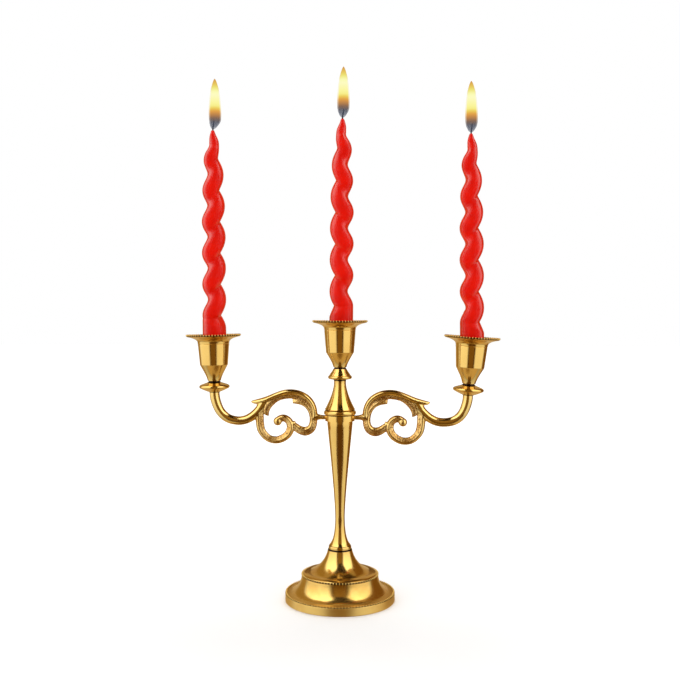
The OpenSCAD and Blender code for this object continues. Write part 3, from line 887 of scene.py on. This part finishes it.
# name: (height, hand of the twist, place on its pan, body)
CANDLES = {
    "left": (184.5, 1, side_pan(LEFT, 0.9, -0.25), "candle_left"),
    "centre": (180.5, -1, on_pan(1.1, CENTRE_CUP_Z + PAN_FLOOR, 0.35), "candle_centre"),
    "right": (180.0, 1, side_pan(RIGHT, 0.55, -0.5), "candle_right"),
}
TIP_CUT, PLAIN_H, SHOULDER_SLOPE = 0.2, 3, 5
BUTT_Z = SOCKET_FLOOR + 2.3 - PAN_FLOOR


def twisted_candle(name, height, hand, place, body):
    """One candle. Its hand is 1 or -1, for the way it is twisted."""
    rows_from, rows_h = height - TWIST_H, TWIST_H - TIP_CUT
    levels = [BUTT_Z, 1.0] + [rows_from + rows_h * i / WAX_ROWS for i in range(WAX_ROWS + 1)]
    bm = bmesh.new()
    line = [bm.verts.new((1, 0, z)) for z in levels]
    line = [bm.verts.new((0, 0, levels[0]))] + line + [bm.verts.new((0, 0, levels[-1]))]
    for a, b in zip(line, line[1:]):
        bm.edges.new((a, b))
    spin_round(bm, WAX_SIDES)
    bmesh.ops.remove_doubles(bm, verts=bm.verts, dist=1e-4)
    rows = {}
    for v in bm.verts:
        rows.setdefault(round(v.co.z, 4), []).append(v)
    for z, row in rows.items():
        balls = balls_near(height - z)
        for v in row:
            if v.co.x ** 2 + v.co.y ** 2 < 0.25:
                continue
            angle = math.atan2(v.co.y, v.co.x * hand)
            if z < PLAIN_H:
                reach = CANDLE_R - (1.0 if z < 0 else 0.0)
            else:
                foot = look_up(z - SHOULDER_SLOPE * (1 - math.cos(angle)), SHOULDER)
                coiled = wax_reach(balls, math.cos(angle), math.sin(angle))
                reach = min(max(coiled, CANDLE_R * foot), CANDLE_R + 0.2)
            v.co.x *= reach
            v.co.y *= reach
    bmesh.ops.recalc_face_normals(bm, faces=bm.faces)
    bmesh.ops.scale(bm, vec=(MM, MM, MM), verts=bm.verts)
    bmesh.ops.transform(bm, matrix=place, verts=bm.verts)
    finished_piece(name + "_candle_twisted", bm, wax, body, "wax", name + "_candle",
                   sharp=60)


for name, (height, hand, place, body) in CANDLES.items():
    twisted_candle(name, height, hand, place, body)

# %% [markdown]
# ## Wicks
#
# A burning wick is black, crooked and thin, with a glowing end. It is the same straight tube as the
# bars of the arms, bent along a short path.

# %% Wicks
wick_finish = Finish("charred cotton", Emission_Strength=1.0)
place = wick_finish.position()
char = wick_finish.grain(place, 2500.0)
glow = wick_finish.attribute("ember")
wick_finish.set(
    Base_Color=wick_finish.blend(char, rgb(0.012, 0.006, 0.003), rgb(0.05, 0.03, 0.018)),
    Emission_Color=wick_finish.blend(glow, rgb(0, 0, 0), rgb(0.55, 0.22, 0.05)),
    Roughness=0.7 + char * 0.2)
# x, z and radius
WICK_PATH = [(0, 0, 0.7), (0.15, 2.5, 0.66), (0.5, 5.0, 0.62), (0.95, 7.5, 0.58), (1.2, 9.4, 0.5),
             (1.25, 10.4, 0.3)]


def wick(name, height, place, body):
    """A wick on the tip of a candle. `ember` grows from 0 to 1 near its end."""
    bm = bmesh.new()
    path = through(WICK_PATH, 4)
    straight_tube(bm, 12, len(path))
    ember = bm.verts.layers.float.new("ember")
    for v in bm.verts:
        x, z, radius = path[round(v.co.z)]
        v[ember] = min(max((z - 8.6) / 1.2, 0), 1)
        v.co = (x + v.co.x * radius, v.co.y * radius, height - TIP_CUT + z)
    bmesh.ops.recalc_face_normals(bm, faces=bm.faces)
    bmesh.ops.scale(bm, vec=(MM, MM, MM), verts=bm.verts)
    bmesh.ops.transform(bm, matrix=place, verts=bm.verts)
    finished_piece(name + "_wick_bent", bm, wick_finish, body, "wick", name + "_wick")


for name, (height, _, place, body) in CANDLES.items():
    wick(name, height, place, body)

# %% [markdown]
# ## Flames
#
# A candle flame is hot gas, but it reads as nested bodies: a grey-blue root round the wick, an
# orange zone above it, a nearly white heart, and a thin yellow mantle that runs up to the tip.
# Heart and mantle are two spun drops of light, and the heart shows through the half-clear mantle.
# An attribute `below_tip`, from 0 at the tip to 1 at the root, leads the colours up the flame.

# %% Flame finishes
def light(c):
    """Amount of light in a colour number that runs from 0 to 255 as on a screen."""
    return ((c / 255 + 0.055) / 1.055) ** 2.4 if c > 10 else c / 3294.6


def hues(*stops):
    return [(place, rgb(*(light(c) for c in colour))) for place, colour in stops]


def shares(*stops):
    return [(place, rgb(share, share, share)) for place, share in stops]


def flame_finish(name, colours, alpha):
    """Pure light. Colours and alpha run from the tip, 0, to the root, 1."""
    finish = Finish(name, Base_Color=rgb(0, 0, 0), Roughness=1.0, Emission_Strength=1.0,
                    Specular_IOR_Level=0.0)
    depth = finish.attribute("below_tip")
    finish.set(
        Emission_Color=finish.node("ShaderNodeValToRGB", {"stops": colours}, {"Fac": depth}),
        Alpha=finish.node("ShaderNodeValToRGB", {"stops": alpha}, {"Fac": depth}))
    return finish


heart_finish = flame_finish(
    "flame heart",
    hues((0, (236, 176, 92)), (0.09, (243, 214, 104)), (0.17, (240, 246, 128)),
         (0.25, (252, 255, 186)), (0.33, (255, 255, 206)), (0.48, (253, 250, 166)),
         (0.54, (248, 244, 150)), (0.59, (238, 208, 90)), (0.64, (227, 154, 62)),
         (0.69, (203, 128, 62)), (0.745, (168, 110, 66)), (0.79, (104, 84, 66)),
         (0.86, (84, 86, 94)), (1, (90, 100, 116))),
    shares((0, 1), (0.70, 1), (0.86, 0.4), (1, 0.05)))
mantle_finish = flame_finish(
    "flame mantle",
    hues((0, (205, 142, 70)), (0.1, (226, 186, 86)), (0.3, (246, 236, 130)),
         (0.55, (246, 226, 112)), (0.66, (226, 170, 84)), (0.77, (140, 112, 92)),
         (0.86, (70, 78, 98)), (1, (66, 76, 100))),
    shares((0, 0.95), (0.12, 0.8), (0.28, 0.2), (0.5, 0.2), (0.65, 0.5), (0.8, 0.55), (1, 0.4)))
print("flame finishes:", heart_finish.material.name, "and", mantle_finish.material.name)

# %% Flames
FLAME_H, FLAME_SIDES, FLAME_ROWS = 46, 40, 40
# How far each flame leans off its wick in the draught, in millimetres
FLAME_SHIFT = {"left": 2.1, "centre": 0.7, "right": 0.4}
# Half-width of the flame against height
FLAME_WIDTHS = [(0, 0.0), (0.7, 0.9), (2.9, 2.8), (6.1, 4.5), (9.3, 5.3), (14, 5.5), (22, 5.35),
                (30, 4.6), (36.4, 3.6), (42, 2.0), (44.6, 1.0), (46, 0)]


def flame_outline(width, low, high):
    """Drop from low to high, as wide as the given share of the flame."""
    heights = [low + (high - low) * i / FLAME_ROWS for i in range(1, FLAME_ROWS)]
    return [(0, low)] + [(width * look_up(z, FLAME_WIDTHS), z) for z in heights] + [(0, high)]


def flame(name, part, width, low, high, finish, height, place, body, *nodes):
    """One drop of a flame, on the tip of a candle."""
    bm = bmesh.new()
    below = bm.verts.layers.float.new("below_tip")
    line = [bm.verts.new((r, 0, z)) for r, z in flame_outline(width, low, high)]
    for a, b in zip(line, line[1:]):
        bm.edges.new((a, b))
    spin_round(bm, FLAME_SIDES)
    bmesh.ops.remove_doubles(bm, verts=bm.verts, dist=1e-4)
    bmesh.ops.recalc_face_normals(bm, faces=bm.faces)
    for v in bm.verts:
        v[below] = 1 - v.co.z / FLAME_H
        v.co = (v.co.x + FLAME_SHIFT[name] * min(v.co.z / 8, 1), v.co.y, v.co.z + height)
    bmesh.ops.scale(bm, vec=(MM, MM, MM), verts=bm.verts)
    bmesh.ops.transform(bm, matrix=place, verts=bm.verts)
    finished_piece(f"{name}_flame_{part}", bm, finish, body, "flame", *nodes, sharp=180)


for name, (height, _, place, body) in CANDLES.items():
    flame(name, "heart", 0.8, 2.4, FLAME_H - 1.2, heart_finish, height, place, body)
    flame(name, "mantle", 1.0, 0.6, FLAME_H, mantle_finish, height, place, body, name + "_flame")

# %% [markdown]
# ## Studio
#
# Polished brass shows the room more than itself, so the room is built as cards that only mirrors
# see. A warm tent lies all round. On either side of the camera is a tall soft panel, brighter
# towards the top, with a dimmer border. Between them is a dim warm wall with two narrow dark flags,
# and overhead the tent is open. The wall gives every turned piece its dark middle, and the panels
# give the bright strips beside it. Side boards darken the flanks, a strip behind draws a dark line
# along the top of the arms, and the cards below keep the undersides deep.

# %% Cards
MIDDLE = Vector((0, 0, 0.2))


def plain_card(name, bm, low, high, level):
    """Makes a mesh into a card. `rise` on the mesh leads its colour from low to high."""
    finish = Finish(name, Base_Color=rgb(0, 0, 0), Specular_IOR_Level=0.0, Emission_Strength=level)
    finish.set(Emission_Color=finish.blend(finish.attribute("rise"), low, high))
    mesh = bpy.data.meshes.new(name)
    bm.to_mesh(mesh)
    bm.free()
    mesh.materials.append(finish.material)
    sheet = bpy.data.objects.new(name, mesh)
    bpy.context.scene.collection.objects.link(sheet)
    sheet.visible_camera = sheet.visible_diffuse = sheet.visible_shadow = False
    sheet.visible_transmission = False


def card(name, azimuths, elevations, distance, low, high=None, level=1.0, tilt=0):
    """A curved card round the object, tilted up from the horizon. Azimuth 0 is the camera's.
    Its colour runs from low at its foot to high at its top."""
    turn = Matrix.Rotation(YAW, 3, "Z") @ Matrix.Rotation(math.radians(-tilt), 3, "X")
    bm = bmesh.new()
    rise = bm.verts.layers.float.new("rise")
    bmesh.ops.create_grid(bm, x_segments=24, y_segments=12, size=0.5)
    for v in bm.verts:
        across, up = v.co.x + 0.5, v.co.y + 0.5
        azimuth = math.radians(azimuths[0] + (azimuths[1] - azimuths[0]) * across)
        elevation = math.radians(elevations[0] + (elevations[1] - elevations[0]) * up)
        v[rise] = up
        v.co = MIDDLE + turn @ Vector((math.cos(elevation) * math.sin(azimuth),
                                       -math.cos(elevation) * math.cos(azimuth),
                                       math.sin(elevation))) * distance
    plain_card(name, bm, low, high or low, level)


PANEL, PANEL_TOP = rgb(0.25, 0.243, 0.225), rgb(1.0, 0.97, 0.90)
card("tent", (-180, 180), (-90, 90), 2.0, rgb(0.74, 0.55, 0.29), rgb(0.40, 0.27, 0.12))
card("left panel border", (-116, -27), (-46, 72), 1.55, PANEL, PANEL_TOP, level=1.5)
card("right panel border", (25, 101), (-46, 72), 1.55, PANEL, PANEL_TOP, level=1.5)
card("left panel", (-108, -32), (-44, 68), 1.5, PANEL, PANEL_TOP, level=2.45)
card("right panel", (30, 94), (-44, 68), 1.5, PANEL, PANEL_TOP, level=2.45)
card("dim wall", (-25, 24), (-55, 46), 1.45, rgb(0.16, 0.08, 0.01), rgb(0.32, 0.18, 0.04))
card("left flag", (-25, -19), (-55, 46), 1.4, rgb(0.07, 0.03, 0.004))
card("right flag", (18, 24), (-55, 46), 1.4, rgb(0.05, 0.02, 0.003))
card("open roof", (-16, 24), (-46, 52), 1.35, rgb(0.02, 0.01, 0.003), rgb(0.05, 0.025, 0.006),
     tilt=90)
card("left side board", (-150, -116), (-25, 50), 1.45, rgb(0.42, 0.27, 0.07), rgb(0.36, 0.22, 0.06))
card("right side board", (101, 150), (-25, 50), 1.45, rgb(0.22, 0.10, 0.014))
card("back strip", (164, 196), (0, 13), 1.4, rgb(0.10, 0.045, 0.01), rgb(0.2, 0.1, 0.03))
# painted shade: this dark card, seen only in mirrors, stands in for the shade and the dark brass
# below the cups
card("dark under the object", (-180, 180), (-90, -60), 0.6, rgb(0.14, 0.07, 0.012),
     rgb(0.24, 0.13, 0.03))

TABLE_EDGE = rgb(0.12, 0.055, 0.008)
sheet_bm = bmesh.new()
bmesh.ops.create_grid(
    sheet_bm, x_segments=1, y_segments=1, size=0.27,
    matrix=Matrix.Rotation(YAW, 4, "Z") @ Matrix.Translation((0, -0.52, 0)))
plain_card("table edge", sheet_bm, TABLE_EDGE, TABLE_EDGE, 1.0)

# %% [markdown]
# ## Lamps, paper and world
#
# The wax and the paper are lit by a pale world and three lamps that the mirrors don't see. The lamp
# behind the object draws its shadow forward. The paper glows for the camera alone, more the further
# away it lies, so that no horizon shows. The camera, and rays that pass through the clear part of a
# flame, see the world as pure white.

# %% Lamps, paper and world
WORLD_LEVEL, PAPER_GLOW = 0.86, 0.34


def soft_lamp(name, azimuth, size, distance, height, level):
    """A square soft lamp that faces the object and stays out of the mirrors."""
    lamp = bpy.data.lights.new(name, "AREA")
    lamp.shape, lamp.size = "SQUARE", size
    lamp.energy = level * math.pi * size * size
    holder = bpy.data.objects.new(name, lamp)
    spot = Matrix.Rotation(YAW + math.radians(azimuth), 4, "Z") @ Vector((0, -distance, height))
    holder.location = spot
    holder.rotation_euler = (MIDDLE - spot).to_track_quat("-Z", "Y").to_euler()
    holder.visible_camera = holder.visible_glossy = False
    bpy.context.scene.collection.objects.link(holder)


soft_lamp("left lamp", -55, 1.0, 1.2, 0.5, 0.35)
soft_lamp("right lamp", 55, 0.9, 1.2, 0.5, 0.2)
soft_lamp("back lamp", 180, 0.6, 0.6, 1.3, 3.8)

floor_bm = bmesh.new()
bmesh.ops.create_grid(floor_bm, x_segments=1, y_segments=1, size=6.0)
floor_mesh = bpy.data.meshes.new("floor")
floor_bm.to_mesh(floor_mesh)
floor_bm.free()
floor = bpy.data.objects.new("floor", floor_mesh)
floor.visible_glossy = False
bpy.context.scene.collection.objects.link(floor)

paper = Finish("floor paper", Base_Color=rgb(0.95, 0.95, 0.95), Roughness=0.9)
away = paper.node("ShaderNodeVectorMath", {"operation": "LENGTH"}, {0: paper.position()}, 1)
paper.set(Emission_Color=paper.blend(away.ramp(0.1, 0.7), rgb(0.12, 0.12, 0.12), rgb(1, 1, 1)),
          Emission_Strength=paper.node("ShaderNodeLightPath", output="Is Camera Ray") * PAPER_GLOW)
floor_mesh.materials.append(paper.material)

world = bpy.data.worlds.new("world")
world.use_nodes = True
bpy.context.scene.world = world
sky = Nodes(world.node_tree)
direct = sky.node("ShaderNodeLightPath", output="Is Camera Ray")
through_flame = sky.node("ShaderNodeLightPath", output="Is Transmission Ray")
seen = direct.math("MAXIMUM", direct, through_flame)
background = sky.tree.nodes["Background"]
sky.plug(rgb(1, 1, 1), background.inputs["Color"])
sky.plug(WORLD_LEVEL + seen * (1 - WORLD_LEVEL), background.inputs["Strength"])

bpy.context.scene.view_settings.view_transform = "Standard"
print(len(bpy.data.lights), "lamps, paper and world ready")
